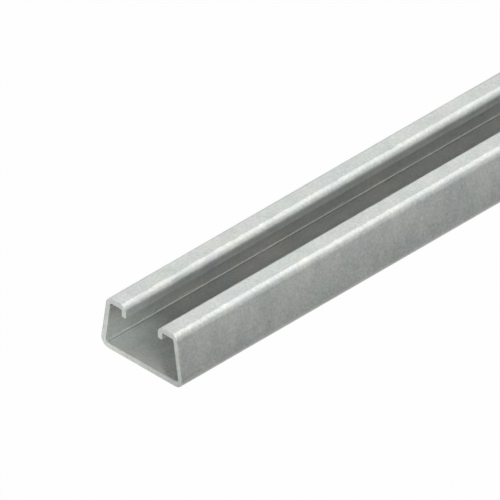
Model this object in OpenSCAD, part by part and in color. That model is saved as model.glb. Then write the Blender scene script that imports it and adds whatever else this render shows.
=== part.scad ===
// Galvanised C-rail: one length of strip steel, roll-formed to a trapezoidal section.
// A flat base, two side walls that lean inwards, two flat flanges, and two short lips
// that turn straight down on either side of a slot.
//
// Frame: X across the rail, Y along it, Z up. The origin is on the underside of the
// base, midway across the rail and midway along it.

/* [Rail] */
// Length that the rail is cut to
rail_length = 1000; // [100:10:3000]
// Width across the outsides of the two bottom bends
rail_width = 28; // [23:0.5:60]
// Height from the underside of the base to the tops of the flanges
rail_height = 15.2; // [10:0.1:30]
// Thickness of the strip, with its zinc
sheet = 1.5; // [0.8:0.1:2]
// Angle by which each side wall leans inwards from upright
wall_lean = 8.5; // [0:0.5:14]

/* [Slot and lips] */
// Clear width of the slot, from lip to lip
slot_width = 11; // [4:0.5:15]
// Depth of each lip, from the top of its flange to its cut edge
lip_depth = 3.5; // [2.4:0.1:8]

/* [Bends] */
// Inside radius of the bend from the base to a side wall
base_bend = 1; // [0.3:0.1:2]
// Inside radius of the bend from a side wall to its flange
flange_bend = 0.5; // [0.3:0.1:2]
// Inside radius of the bend from a flange to its lip
lip_bend = 0.4; // [0.3:0.1:1.5]

/* [Hidden] */

zinc_grey = "#b3b7b4";
arc_facets = 96;

// Outside radius of each bend
base_r = base_bend + sheet;
flange_r = flange_bend + sheet;
lip_r = lip_bend + sheet;

// The outside of a side wall runs between the ends of its two bends
wall_foot = [rail_width / 2 - base_r * (1 - cos(wall_lean)), base_r * (1 + sin(wall_lean))];
wall_head_z = rail_height - flange_r * (1 - sin(wall_lean));
wall_run = (wall_head_z - wall_foot[1]) / cos(wall_lean);
wall_head_x = wall_foot[0] - wall_run * sin(wall_lean);

// Flat runs that are left between the bends, from the middle of the base to a lip's edge
base_run = rail_width / 2 - base_r;
flange_run = wall_head_x - flange_r * cos(wall_lean) - (slot_width / 2 + lip_r);
lip_run = lip_depth - lip_r;

// Each step of the strip is [flat run, angle of the bend after it, inside radius of that bend]
half_strip = [
    [base_run, 90 + wall_lean, base_bend],
    [wall_run, 90 - wall_lean, flange_bend],
    [flange_run, 90, lip_bend],
    [lip_run, 0, 0]
];

// The arc that the strip makes where it turns left by an angle, about the arc's centre
module bend(angle, inside_r) {
    outside_r = inside_r + sheet;
    intersection() {
        difference() {
            circle(r = outside_r, $fn = arc_facets);
            circle(r = inside_r, $fn = arc_facets);
        }
        // Past the end of the run before, and short of the start of the run after
        translate([0, -outside_r])
            square([outside_r, 2 * outside_r]);
        rotate(angle)
            translate([-outside_r, -outside_r])
                square([outside_r, 2 * outside_r]);
    }
}

// Lays the strip's steps end to end from the origin, the first along +X, outside face down
module formed_strip(steps, i = 0) {
    run = steps[i][0];
    angle = steps[i][1];
    inside_r = steps[i][2];
    outside_r = inside_r + sheet;
    square([run, sheet]);
    if (i < len(steps) - 1)
        translate([run, outside_r]) {
            bend(angle, inside_r);
            rotate(angle)
                translate([0, -outside_r])
                    formed_strip(steps, i + 1);
        }
}

module section() {
    formed_strip(half_strip);
    mirror([1, 0])
        formed_strip(half_strip);
}

module channel() {
    color(zinc_grey)
        rotate([90, 0, 0])
            linear_extrude(rail_length, center = true)
                section();
}

channel();
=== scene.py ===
import math
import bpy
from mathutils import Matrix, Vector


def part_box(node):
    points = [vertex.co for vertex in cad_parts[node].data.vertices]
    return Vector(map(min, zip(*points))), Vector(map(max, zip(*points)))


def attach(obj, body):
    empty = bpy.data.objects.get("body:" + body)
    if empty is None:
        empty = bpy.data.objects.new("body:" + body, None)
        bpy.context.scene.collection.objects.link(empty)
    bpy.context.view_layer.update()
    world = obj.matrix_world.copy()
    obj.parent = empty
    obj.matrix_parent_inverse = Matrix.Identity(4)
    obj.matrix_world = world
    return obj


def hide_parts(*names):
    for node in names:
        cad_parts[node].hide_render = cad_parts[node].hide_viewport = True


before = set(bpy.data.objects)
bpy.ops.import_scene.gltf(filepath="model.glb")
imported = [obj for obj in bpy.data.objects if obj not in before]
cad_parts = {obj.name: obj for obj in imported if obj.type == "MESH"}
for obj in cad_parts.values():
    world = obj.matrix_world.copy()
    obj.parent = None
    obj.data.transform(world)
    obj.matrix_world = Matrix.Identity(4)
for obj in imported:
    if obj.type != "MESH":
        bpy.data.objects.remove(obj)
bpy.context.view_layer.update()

from types import SimpleNamespace
import bpy
from mathutils import Vector

mm = 0.001


# A wire is one output of a node. Arithmetic on wires adds Math nodes to the same board.
class Wire:
    def __init__(self, board, socket):
        self.board = board
        self.socket = socket

    def maths(self, operation, first, second=0.0):
        return self.board.add("ShaderNodeMath", {"operation": operation}, {0: first, 1: second})

    def __add__(self, other):
        return self.maths("ADD", self, other)

    def __radd__(self, other):
        return self.maths("ADD", other, self)

    def __sub__(self, other):
        return self.maths("SUBTRACT", self, other)

    def __rsub__(self, other):
        return self.maths("SUBTRACT", other, self)

    def __mul__(self, other):
        return self.maths("MULTIPLY", self, other)

    def __rmul__(self, other):
        return self.maths("MULTIPLY", other, self)

    def __truediv__(self, other):
        return self.maths("DIVIDE", self, other)

    def __abs__(self):
        return self.maths("ABSOLUTE", self)

    def lesser(self, other):
        return self.maths("MINIMUM", self, other)

    def greater(self, other):
        return self.maths("MAXIMUM", self, other)

    # 0 up to low, 1 from high on
    def rise(self, low, high):
        return self.board.add("ShaderNodeMapRange", {"interpolation_type": "SMOOTHSTEP"}, {
            "Value": self, "From Min": low, "From Max": high})

    def fall(self, low, high):
        return 1 - self.rise(low, high)

    def sign(self):
        return self.maths("SIGN", self)

    def sine(self):
        return self.maths("SINE", self)

    def cosine(self):
        return self.maths("COSINE", self)


# A board is a node tree filled by calls, each with a node's kind, its settings, and the values or wires
# for its sockets.
class Board:
    def __init__(self, tree):
        self.tree = tree

    def add(self, kind, settings=None, inputs=None, output=0):
        node = self.tree.nodes.new(kind)
        for name, value in (settings or {}).items():
            if name == "choices":
                while len(node.index_switch_items) < value:
                    node.index_switch_items.new()
            else:
                setattr(node, name, value)
        for name, value in (inputs or {}).items():
            if isinstance(value, Wire):
                self.tree.links.new(value.socket, node.inputs[name])
            else:
                node.inputs[name].default_value = value
        if not node.outputs:
            return None
        return Wire(self, node.outputs[output])

    # one of a few values, by its number
    def pick(self, index, values):
        sockets = {0: index}
        sockets.update({place + 1: value for place, value in enumerate(values)})
        settings = {"data_type": "FLOAT", "choices": len(values)}
        return self.add("GeometryNodeIndexSwitch", settings, sockets)

    def part(self, vector, axis):
        return self.add("ShaderNodeSeparateXYZ", inputs={0: vector}, output=axis)

    def scaled(self, vector, amount):
        return self.add("ShaderNodeVectorMath", {"operation": "SCALE"}, {0: vector, "Scale": amount})

    # a noise of one grain size in metres, from about -1 to 1, stretched by a factor along each axis
    def grain(self, place, size, seed, stretch=(1, 1, 1), detail=2.0, rough=0.5):
        pull = tuple(1 / (size * factor) for factor in stretch)
        settings = {"noise_dimensions": "4D", "normalize": False}
        spread = self.add("ShaderNodeVectorMath", {"operation": "MULTIPLY"}, {0: place, 1: pull})
        return self.add("ShaderNodeTexNoise", settings, {
            "Vector": spread, "W": seed, "Scale": 1.0, "Detail": detail, "Roughness": rough})

    # crystals of one size in metres with wandering borders, each at its own level from -1 to 1
    def crystals(self, place, size, seed, wander, wiggles, detail):
        spread = self.scaled(place, 1 / size)
        bend = self.add("ShaderNodeTexNoise", inputs={
            "Vector": spread, "Scale": wiggles, "Detail": detail}, output="Color")
        spread = self.add("ShaderNodeVectorMath", {"operation": "ADD"}, {
            0: spread, 1: self.scaled(bend, wander)})
        cells = self.add("ShaderNodeTexVoronoi", {"voronoi_dimensions": "4D"}, {
            "Vector": spread, "W": seed, "Scale": 1.0}, output="Color")
        return self.part(cells, "X") * 2 - 1


# the empty node tree of a new material or world, as a board
def emptied(holder):
    holder.use_nodes = True
    holder.node_tree.nodes.clear()
    return Board(holder.node_tree)


camera = {
    "azimuth": 45,
    "elevation": math.degrees(math.asin(1 / math.sqrt(3))),
    "viewWidth": 122.27 * mm,
    "looksAt": (7.02 * mm, -469.56 * mm, 23.42 * mm),
    "distance": 2.0,
    "clipEnd": 20.0,
}


# the way to something at this azimuth and elevation in degrees: azimuth 0 is over the near end,
# and 90 over the right side
def bearing(azimuth, elevation):
    turn, tilt = math.radians(azimuth), math.radians(elevation)
    return Vector((math.sin(turn) * math.cos(tilt), -math.cos(turn) * math.cos(tilt), math.sin(tilt)))


def makeCamera():
    away = bearing(camera["azimuth"], camera["elevation"])
    lens = bpy.data.cameras.new("camera")
    lens.type = "ORTHO"
    lens.ortho_scale = camera["viewWidth"]
    lens.clip_end = camera["clipEnd"]
    holder = bpy.data.objects.new("camera", lens)
    holder.location = Vector(camera["looksAt"]) + camera["distance"] * away
    holder.rotation_euler = (-away).to_track_quat("-Z", "Y").to_euler()
    bpy.context.scene.collection.objects.link(holder)
    bpy.context.scene.camera = holder


makeCamera()
print("camera set")


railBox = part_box("channel")
rail = {
    "width": railBox[1].x - railBox[0].x,
    "length": railBox[1].y - railBox[0].y,
    "height": railBox[1].z - railBox[0].z,
    "sheet": 1.5 * mm,
    "lean": math.radians(8.5),          # of each side wall, inwards from upright
    "slot": 11 * mm,
    "lip": 3.5 * mm,                    # from the top down to the lip's edge
    "baseBend": 1.0 * mm,               # inside radii
    "flangeBend": 0.5 * mm,
    "lipBend": 0.4 * mm,
    "stepsPerBend": 16,
    "stepsAlong": 81,
    "edgeRound": 0.13 * mm,             # on every cut edge
    "edgeSteps": 2,
    "edgeAngle": math.radians(60),      # an edge sharper than this is a cut edge
}

# the outside of the bend at a wall's foot: its radius, and how far its centre is from the rail's middle
footRadius = rail["baseBend"] + rail["sheet"]
footCentre = rail["width"] / 2 - footRadius


# across + up * tan(lean) has this value all over the outside of a side wall
def wallReach():
    lean = rail["lean"]
    return footCentre + footRadius * (math.cos(lean) + (1 + math.sin(lean)) * math.tan(lean))


# A pair of numbers is where a zone begins and where it is full, and an End is where it starts to fade
# and where it is over. Side runs to the right from the rail's middle in shares of its width, and across
# to both sides in metres. Up is above the base, and depth in from the nearer end. Aside, upward and
# endways are how far a face looks to the right, up and to an end.
zinc = {
    "colour": (0.549, 0.577, 0.554),
    "metal": 0.27,
    "roughness": 0.48,
    "relief": 0.0035 * mm,

    # each is a noise, whose stretch is how much longer its grain is along X, Y and Z
    "patterns": {
        "clouds": {"size": 9 * mm, "seed": 3.1, "stretch": (1, 1, 1.6), "detail": 1.0},
        "blush": {"size": 7 * mm, "seed": 7.7, "detail": 3.0, "rough": 0.6},
        "chill": {"size": 7 * mm, "seed": 4.6, "detail": 3.0, "rough": 0.6},
        "mottle": {"size": 2.4 * mm, "seed": 1.3, "stretch": (1, 1, 2.2)},
        "fine": {"size": 0.7 * mm, "seed": 5.9, "detail": 3.0, "rough": 0.7},
        "drawn": {"size": 0.8 * mm, "seed": 2.4, "stretch": (1, 300, 1), "detail": 3.0, "rough": 0.6},
        "sawn": {"size": 0.3 * mm, "seed": 6.2, "stretch": (60, 1, 1)},
    },
    # crystals, whose borders wander by so many sizes, in so many wiggles to a size
    "spangle": {"size": 2.2 * mm, "seed": 0.9, "wander": 1.2, "wiggles": 2.0, "detail": 3.0},

    # how much each pattern does
    "lighten": {"clouds": 0.085, "mottle": 0.07, "fine": 0.16, "spangle": 0.03},
    "redden": {"blush": 0.045, "clouds": 0.0225},
    "addBlue": {"chill": 0.045, "clouds": -0.0225},
    "roughen": {"mottle": 0.04, "fine": 0.05, "spangle": 0.02},
    "raise": {"mottle": 1.0, "fine": 0.7, "drawn": 0.2},

    # the drawing lines everywhere, and what is added inside on flat and on upright faces
    "lines": {"all": 0.006, "flat": 0.039, "upright": 0.13},

    # the outside of the upper bends where they face right, polished by the rollers
    "burnish": {
        "aside": (0.03, 0.27),
        "upward": (0.15, 0.5),
        "up": (3 * mm, 5 * mm),
        "ragged": {"mottle": 0.07, "fine": 0.025},
        "metal": 0.5,
        "roughness": -0.08,
        "redder": 0.0105,
        "flatter": 0.35,                # share of the relief that is lost
    },

    # the smooth inside of the left bend at the foot
    "crease": {
        "aside": (0.1, 0.3),
        "upward": (0.2, 0.5),
        "upEnd": (3 * mm, 5 * mm),
        "depth": (0.1 * mm, 0.9 * mm),
        "metal": 0.04,
        "roughness": -0.32,
        "edge": 0.22,                   # how much painted highlight there is next to the wall, and painted shade beside it
        "lightAside": (0.6, 0.8),
        "shadeAside": (0.43, 0.55),
        "shadeAsideEnd": (0.57, 0.7),
    },

    # painted shade on the outside of a side wall: how much darker it is painted at its head and at its
    # foot, and how deep it goes
    "wall": {"head": 0.11, "foot": 0.38, "skin": 0.5 * mm},

    # a painted highlight on the underside of the bend at the foot
    "heelHighlight": {"lighter": 0.1, "upward": (-0.95, -0.6), "upwardEnd": (-0.15, 0.05)},

    # a cut end, lighter and with saw lines, and lightest at its left foot by a painted light gradient
    "cut": {"lighter": 0.11, "sawn": 0.06, "slope": 0.2, "endways": (0.7, 0.95)},

    # all that is inside, from the base to the lips
    "inside": {
        "up": (0.1 * mm, 0.6 * mm),
        "upEnd": (rail["height"] - 1.9 * mm, rail["height"] - 1.1 * mm),
        "uprightEnd": (0.8, 0.98),      # an upright face looks less far up than this
        "metal": -0.17,
        "calmer": 0.15,                 # how much fainter the patterns are
    },

    # and its parts: painted light at an open end, with less of it in the cove at the left foot
    "mouth": {
        "flat": 0.35,
        "upright": 0.18,
        "reach": 5.7 * mm,              # depth at the rail's middle
        "slant": 0.65,                  # it grows by this much of the way to the left
        "least": 0.5 * mm,
        "reaches": (0.2, 1.5),          # it fades out between these shares of the reach
    },
    "cove": {"lost": 0.4, "sideEnd": (-0.4, -0.29), "upEnd": (2.5 * mm, 5.5 * mm)},

    # painted shade on the base past the mouth, and a redder tint further in
    "throat": {
        "paintedShade": 0.22,
        "depth": (10 * mm, 19 * mm),
        "depthEnd": (22 * mm, 48 * mm),
        "upEnd": (9 * mm, 12 * mm),
    },
    "deep": {"redder": 0.03, "depth": (8 * mm, 25 * mm), "upEnd": (8 * mm, 12 * mm)},

    # painted light and shade across the base: lighter by the left wall, darker towards the middle, and
    # darker again towards the right wall
    "shade": {
        "left": 0.26,
        "leftSide": (-0.43, -0.14),
        "start": 0.3,                   # up to this share of that way it is lighter
        "right": 0.4,
        "rightSide": (-0.14, 0.43),
    },

    # painted shade at the top of the lips, and under the flanges
    "brow": {"paintedShade": 0.18, "up": (rail["height"] - 2.9 * mm, rail["height"] - 1.8 * mm)},
    "eave": {"paintedShade": 0.4, "across": (7 * mm, 10 * mm), "up": (8 * mm, 13.5 * mm)},
}


# some patterns added up, each by its weight
def mixed(pattern, weights):
    return sum(pattern[name] * weight for name, weight in weights.items())


def zincPatterns(board, place):
    pattern = {name: board.grain(place, **facts) for name, facts in zinc["patterns"].items()}
    pattern["spangle"] = board.crystals(place, **zinc["spangle"])
    return pattern


# where a point of the rail is and which way it faces
def railPlaces(board, place):
    facing = board.add("ShaderNodeNewGeometry", output="Normal")
    right = board.part(place, "X")
    return SimpleNamespace(
        side=right / rail["width"],
        across=abs(right),
        up=board.part(place, "Z"),
        depth=rail["length"] / 2 - abs(board.part(place, "Y")),
        aside=board.part(facing, "X"),
        upward=board.part(facing, "Z"),
        endways=abs(board.part(facing, "Y")),
    )


# masks for the parts of the rail that the zinc looks different on
def railZones(at, pattern):
    reach = wallReach()
    wall = (at.across + at.up * math.tan(rail["lean"])).rise(reach - zinc["wall"]["skin"], reach)
    cut = at.endways.rise(*zinc["cut"]["endways"])

    heelHighlight = zinc["heelHighlight"]
    underside = at.upward.rise(*heelHighlight["upward"]) * at.upward.fall(*heelHighlight["upwardEnd"])
    burnish = zinc["burnish"]
    bent = (at.aside + mixed(pattern, burnish["ragged"])).rise(*burnish["aside"])
    crease = zinc["crease"]
    creased = at.aside.rise(*crease["aside"]) * at.upward.rise(*crease["upward"])
    inside = zinc["inside"]
    return SimpleNamespace(
        wall=wall,
        cut=cut,
        heelHighlight=underside * at.across.rise(footCentre, rail["width"] / 2),
        burnish=bent * at.upward.rise(*burnish["upward"]) * at.up.rise(*burnish["up"]),
        crease=creased * at.up.fall(*crease["upEnd"]) * at.depth.rise(*crease["depth"]),
        inside=(1 - wall) * (1 - cut) * at.up.rise(*inside["up"]) * at.up.fall(*inside["upEnd"]),
        upright=at.upward.fall(*inside["uprightEnd"]),
    )


# painted light at an open end
def paintedMouthLight(at, zone):
    mouth = zinc["mouth"]
    cove = zinc["cove"]
    reach = (mouth["reach"] - at.side * rail["width"] * mouth["slant"]).greater(mouth["least"])
    share = mouth["flat"] + zone.upright * (mouth["upright"] - mouth["flat"])
    lost = at.side.fall(*cove["sideEnd"]) * at.up.fall(*cove["upEnd"]) * cove["lost"]
    return (at.depth / reach).fall(*mouth["reaches"]) * share * (1 - lost)


# painted light and shade inside: lighter at an open end, darker past the mouth, across the base, at the
# top of the lips and under the flanges
def paintedInsideLightAndShade(at, zone):
    throat = zinc["throat"]
    shade = zinc["shade"]
    brow = zinc["brow"]
    eave = zinc["eave"]
    past = at.depth.rise(*throat["depth"]) * at.depth.fall(*throat["depthEnd"])
    past = past * at.up.fall(*throat["upEnd"])
    left = (at.side.rise(*shade["leftSide"]) - shade["start"]) * shade["left"]
    right = at.side.rise(*shade["rightSide"]) * shade["right"]
    flat = (past * throat["paintedShade"] + left + right) * (1 - zone.upright)
    under = at.across.rise(*eave["across"]) * at.up.rise(*eave["up"]) * eave["paintedShade"]
    return paintedMouthLight(at, zone) - flat - at.up.rise(*brow["up"]) * brow["paintedShade"] - under


# a painted highlight line and a painted shade line along the crease
def paintedCreaseLines(at, zone):
    crease = zinc["crease"]
    light = at.aside.rise(*crease["lightAside"])
    shadeLine = at.aside.rise(*crease["shadeAside"]) * at.aside.fall(*crease["shadeAsideEnd"])
    return zone.crease * (light - shadeLine) * crease["edge"]


# the outside: painted shade on the side walls, darker towards the foot, and a painted highlight on the
# heel
def paintedWallShadeAndHeelHighlight(at, zone):
    wall = zinc["wall"]
    fade = (wall["foot"] - wall["head"]) / rail["height"]
    return zone.heelHighlight * zinc["heelHighlight"]["lighter"] - zone.wall * (wall["foot"] - at.up * fade)


# lighter cut ends with their saw lines, and a painted light gradient that is lightest at the left foot
def cutTone(at, zone, pattern):
    cut = zinc["cut"]
    # painted light across the cut end, growing towards its left foot
    foot = at.side * 2 * (1 - at.up / rail["height"])
    return zone.cut * (cut["lighter"] + pattern["sawn"] * cut["sawn"] - foot * cut["slope"])


# the zinc's lightness: its grain and drawing lines, with painted light and shade added on the outside,
# the cut ends, the inside and along the crease
def zincLightness(at, zone, pattern):
    lines = zinc["lines"]
    insideLines = lines["flat"] + zone.upright * (lines["upright"] - lines["flat"])
    streaks = pattern["drawn"] * (lines["all"] + zone.inside * insideLines)
    grain = mixed(pattern, zinc["lighten"]) * (1 - zone.inside * zinc["inside"]["calmer"])
    outer = paintedWallShadeAndHeelHighlight(at, zone) + cutTone(at, zone, pattern)
    return 1 + grain + streaks + outer + zone.inside * paintedInsideLightAndShade(at, zone) + paintedCreaseLines(at, zone)


def zincHue(board, at, zone, pattern):
    deep = zinc["deep"]
    reddish = zone.inside * at.depth.rise(*deep["depth"]) * at.up.fall(*deep["upEnd"]) * deep["redder"]
    reddish = reddish + zone.burnish * zinc["burnish"]["redder"] + mixed(pattern, zinc["redden"])
    red, green, blue = zinc["colour"]
    return board.add("ShaderNodeCombineColor", inputs={
        "Red": red * (1 + reddish),
        "Green": green,
        "Blue": blue * (1 + mixed(pattern, zinc["addBlue"])),
    })


def zincRelief(board, zone, pattern):
    smooth = (1 - zone.crease) * (1 - zone.burnish * zinc["burnish"]["flatter"])
    height = mixed(pattern, zinc["raise"]) * smooth
    return board.add("ShaderNodeBump", inputs={
        "Height": height, "Distance": zinc["relief"], "Strength": 1.0})


def zincMaterial():
    material = bpy.data.materials.new("galvanisedZinc")
    board = emptied(material)
    place = board.add("ShaderNodeTexCoord", output="Object")
    pattern = zincPatterns(board, place)
    at = railPlaces(board, place)
    zone = railZones(at, pattern)

    burnish = zinc["burnish"]
    crease = zinc["crease"]
    hue = zincHue(board, at, zone, pattern)
    metal = zinc["metal"] + zone.burnish * burnish["metal"] + zone.crease * crease["metal"]
    metal = metal + zone.inside * (1 - zone.crease) * zinc["inside"]["metal"]
    roughness = zinc["roughness"] + mixed(pattern, zinc["roughen"])
    roughness = roughness + zone.burnish * burnish["roughness"] + zone.crease * crease["roughness"]
    surface = board.add("ShaderNodeBsdfPrincipled", inputs={
        "Base Color": board.scaled(hue, zincLightness(at, zone, pattern)),
        "Metallic": metal,
        "Roughness": roughness,
        "Normal": zincRelief(board, zone, pattern),
    })
    board.add("ShaderNodeOutputMaterial", inputs={"Surface": surface})
    return material


def newGeometryBoard(name, inputs):
    tree = bpy.data.node_groups.new(name, "GeometryNodeTree")
    for label, kind in inputs.items():
        tree.interface.new_socket(label, in_out="INPUT", socket_type=kind)
    tree.interface.new_socket("Mesh", in_out="OUTPUT", socket_type="NodeSocketGeometry")
    board = Board(tree)
    return board, {label: board.add("NodeGroupInput", output=label) for label in inputs}


# The strip's middle line runs from lip to lip by eight corners, and the last four mirror the first.
# It is rounded at six of them and drawn out along the rail.
def bentStripBoard():
    inputs = {label: "NodeSocketFloat" for label in (
        "Length", "Width", "Height", "Sheet", "Lean", "Slot", "Lip",
        "Base bend", "Flange bend", "Lip bend")}
    inputs["Steps per bend"] = "NodeSocketInt"
    inputs["Steps along"] = "NodeSocketInt"
    inputs["Material"] = "NodeSocketMaterial"
    board, size = newGeometryBoard("bentStrip", inputs)

    lean = size["Lean"]
    halfSheet = size["Sheet"] / 2
    top = size["Height"] - halfSheet
    lipX = size["Slot"] / 2 + halfSheet
    lipZ = size["Height"] - size["Lip"]
    outer = size["Base bend"] + size["Sheet"]
    # square to a side wall, its middle line is this far from the rail's bottom centre
    wallOut = lean.cosine() * (size["Width"] / 2 - outer) + lean.sine() * outer
    wallOut = wallOut + size["Base bend"] + halfSheet
    footX = (wallOut - lean.sine() * halfSheet) / lean.cosine()
    headX = (wallOut - lean.sine() * top) / lean.cosine()

    cornerCount = 8
    index = board.add("GeometryNodeInputIndex")
    corner = index.lesser(cornerCount - 1 - index)
    side = (index - (cornerCount - 1) / 2).sign()
    # a section stands head down on a path along Y
    place = board.add("ShaderNodeCombineXYZ", inputs={
        "X": side * board.pick(corner, [lipX, lipX, headX, footX]),
        "Y": -1 * board.pick(corner, [lipZ, top, top, halfSheet]),
    })
    bends = [0.0, size["Lip bend"], size["Flange bend"], size["Base bend"]]
    radius = halfSheet + board.pick(corner, bends)

    section = board.add("GeometryNodeMeshLine", inputs={"Count": cornerCount})
    section = board.add("GeometryNodeSetPosition", inputs={"Geometry": section, "Position": place})
    section = board.add("GeometryNodeMeshToCurve", inputs={"Mesh": section})
    section = board.add("GeometryNodeFilletCurve", {"mode": "POLY"}, {
        "Curve": section, "Count": size["Steps per bend"], "Radius": radius})

    end = board.add("ShaderNodeCombineXYZ", inputs={"Y": size["Length"] / 2})
    start = board.add("ShaderNodeCombineXYZ", inputs={"Y": size["Length"] / -2})
    path = board.add("GeometryNodeCurvePrimitiveLine", inputs={"Start": start, "End": end})
    path = board.add("GeometryNodeResampleCurve", inputs={"Curve": path, "Count": size["Steps along"]})
    strip = board.add("GeometryNodeCurveToMesh", inputs={"Curve": path, "Profile Curve": section})
    strip = board.add("GeometryNodeRealizeInstances", inputs={"Geometry": strip})
    strip = board.add("GeometryNodeSetMaterial", inputs={
        "Geometry": strip, "Material": size["Material"]})
    board.add("NodeGroupOutput", inputs={0: strip})
    return board


# a tree's result as a plain mesh object at the origin
def grown(name, board, values):
    holder = bpy.data.objects.new(name, bpy.data.meshes.new(name))
    bpy.context.scene.collection.objects.link(holder)
    growth = holder.modifiers.new("growth", "NODES")
    growth.node_group = board.tree
    sockets = {item.name: item.identifier for item in board.tree.interface.items_tree}
    for label, value in values.items():
        growth[sockets[label]] = value
    depsgraph = bpy.context.evaluated_depsgraph_get()
    mesh = bpy.data.meshes.new_from_object(holder.evaluated_get(depsgraph))
    holder.modifiers.clear()
    holder.data = mesh
    return holder


def makeRail(material):
    piece = grown("galvanisedRail", bentStripBoard(), {
        "Length": rail["length"], "Width": rail["width"], "Height": rail["height"],
        "Sheet": rail["sheet"], "Lean": rail["lean"], "Slot": rail["slot"], "Lip": rail["lip"],
        "Base bend": rail["baseBend"], "Flange bend": rail["flangeBend"], "Lip bend": rail["lipBend"],
        "Steps per bend": rail["stepsPerBend"], "Steps along": rail["stepsAlong"], "Material": material,
    })
    piece.data.shade_smooth()
    wall = piece.modifiers.new("sheet", "SOLIDIFY")
    wall.thickness = rail["sheet"]
    wall.offset = 0
    wall.use_even_offset = True
    edges = piece.modifiers.new("edges", "BEVEL")
    edges.limit_method = "ANGLE"
    edges.angle_limit = rail["edgeAngle"]
    edges.width = rail["edgeRound"]
    edges.segments = rail["edgeSteps"]
    edges.harden_normals = True
    faces = piece.modifiers.new("faces", "WEIGHTED_NORMAL")
    faces.keep_sharp = False
    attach(piece, "root")
    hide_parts("channel")


makeRail(zincMaterial())
print("rail made")


studio = {
    "white": (1, 1, 1, 1),
    "floorColour": (0.8, 0.8, 0.8, 1),
    "floorSize": 12.0,
    "floorGap": 0.1 * mm,               # under the rail
    "floorGlow": 0.98,                  # share of plain white in what is seen of the floor
    "lamps": {                          # spread is how wide a lamp looks, in degrees
        "front": {"azimuth": 358, "elevation": 8, "strength": 0.6, "spread": 45},
        "frontLow": {"azimuth": 20, "elevation": 5, "strength": 0.6, "spread": 45},
        "frontRight": {"azimuth": 32, "elevation": 14, "strength": 0.74, "spread": 80},
        "right": {"azimuth": 60, "elevation": 45, "strength": 0.65, "spread": 45},
        "backRight": {"azimuth": 166, "elevation": 52, "strength": 0.44, "spread": 45},
        "back": {"azimuth": 210, "elevation": 15, "strength": 0.6, "spread": 45},
        "backLeft": {"azimuth": 225, "elevation": 35, "strength": 0.46, "spread": 45},
        "left": {"azimuth": 270, "elevation": 30, "strength": 0.4, "spread": 90},
    },
}


# 1 for the rays that see the background, themselves or in a reflection
def seen(board):
    rays = ["Is Camera Ray", "Is Glossy Ray", "Is Transmission Ray"]
    straight, mirrored, through = [board.add("ShaderNodeLightPath", output=name) for name in rays]
    return (straight + mirrored + through).lesser(1)


def makeFloor():
    material = bpy.data.materials.new("paleFloor")
    board = emptied(material)
    paint = board.add("ShaderNodeBsdfDiffuse", inputs={"Color": studio["floorColour"]})
    glow = board.add("ShaderNodeEmission", inputs={"Color": studio["white"], "Strength": 1.0})
    share = seen(board) * studio["floorGlow"]
    surface = board.add("ShaderNodeMixShader", inputs={0: share, 1: paint, 2: glow})
    board.add("ShaderNodeOutputMaterial", inputs={"Surface": surface})
    half = studio["floorSize"] / 2
    mesh = bpy.data.meshes.new("floor")
    corners = [(-half, -half), (half, -half), (half, half), (-half, half)]
    mesh.from_pydata([(x, y, -studio["floorGap"]) for x, y in corners], [], [(0, 1, 2, 3)])
    mesh.materials.append(material)
    floor = bpy.data.objects.new("floor", mesh)
    bpy.context.scene.collection.objects.link(floor)


# the world is white where it is seen, and gives no light: the lamps do
def makeLight():
    world = bpy.data.worlds.new("studio")
    board = emptied(world)
    surface = board.add("ShaderNodeBackground", inputs={
        "Color": studio["white"], "Strength": seen(board)})
    board.add("ShaderNodeOutputWorld", inputs={"Surface": surface})
    bpy.context.scene.world = world
    for name, facts in studio["lamps"].items():
        lamp = bpy.data.lights.new(name, "SUN")
        lamp.energy = facts["strength"]
        lamp.angle = math.radians(facts["spread"])
        holder = bpy.data.objects.new(name, lamp)
        away = bearing(facts["azimuth"], facts["elevation"])
        holder.rotation_euler = away.to_track_quat("Z", "Y").to_euler()
        bpy.context.scene.collection.objects.link(holder)


makeFloor()
makeLight()
bpy.context.scene.view_settings.view_transform = "Standard"
print("studio lit")
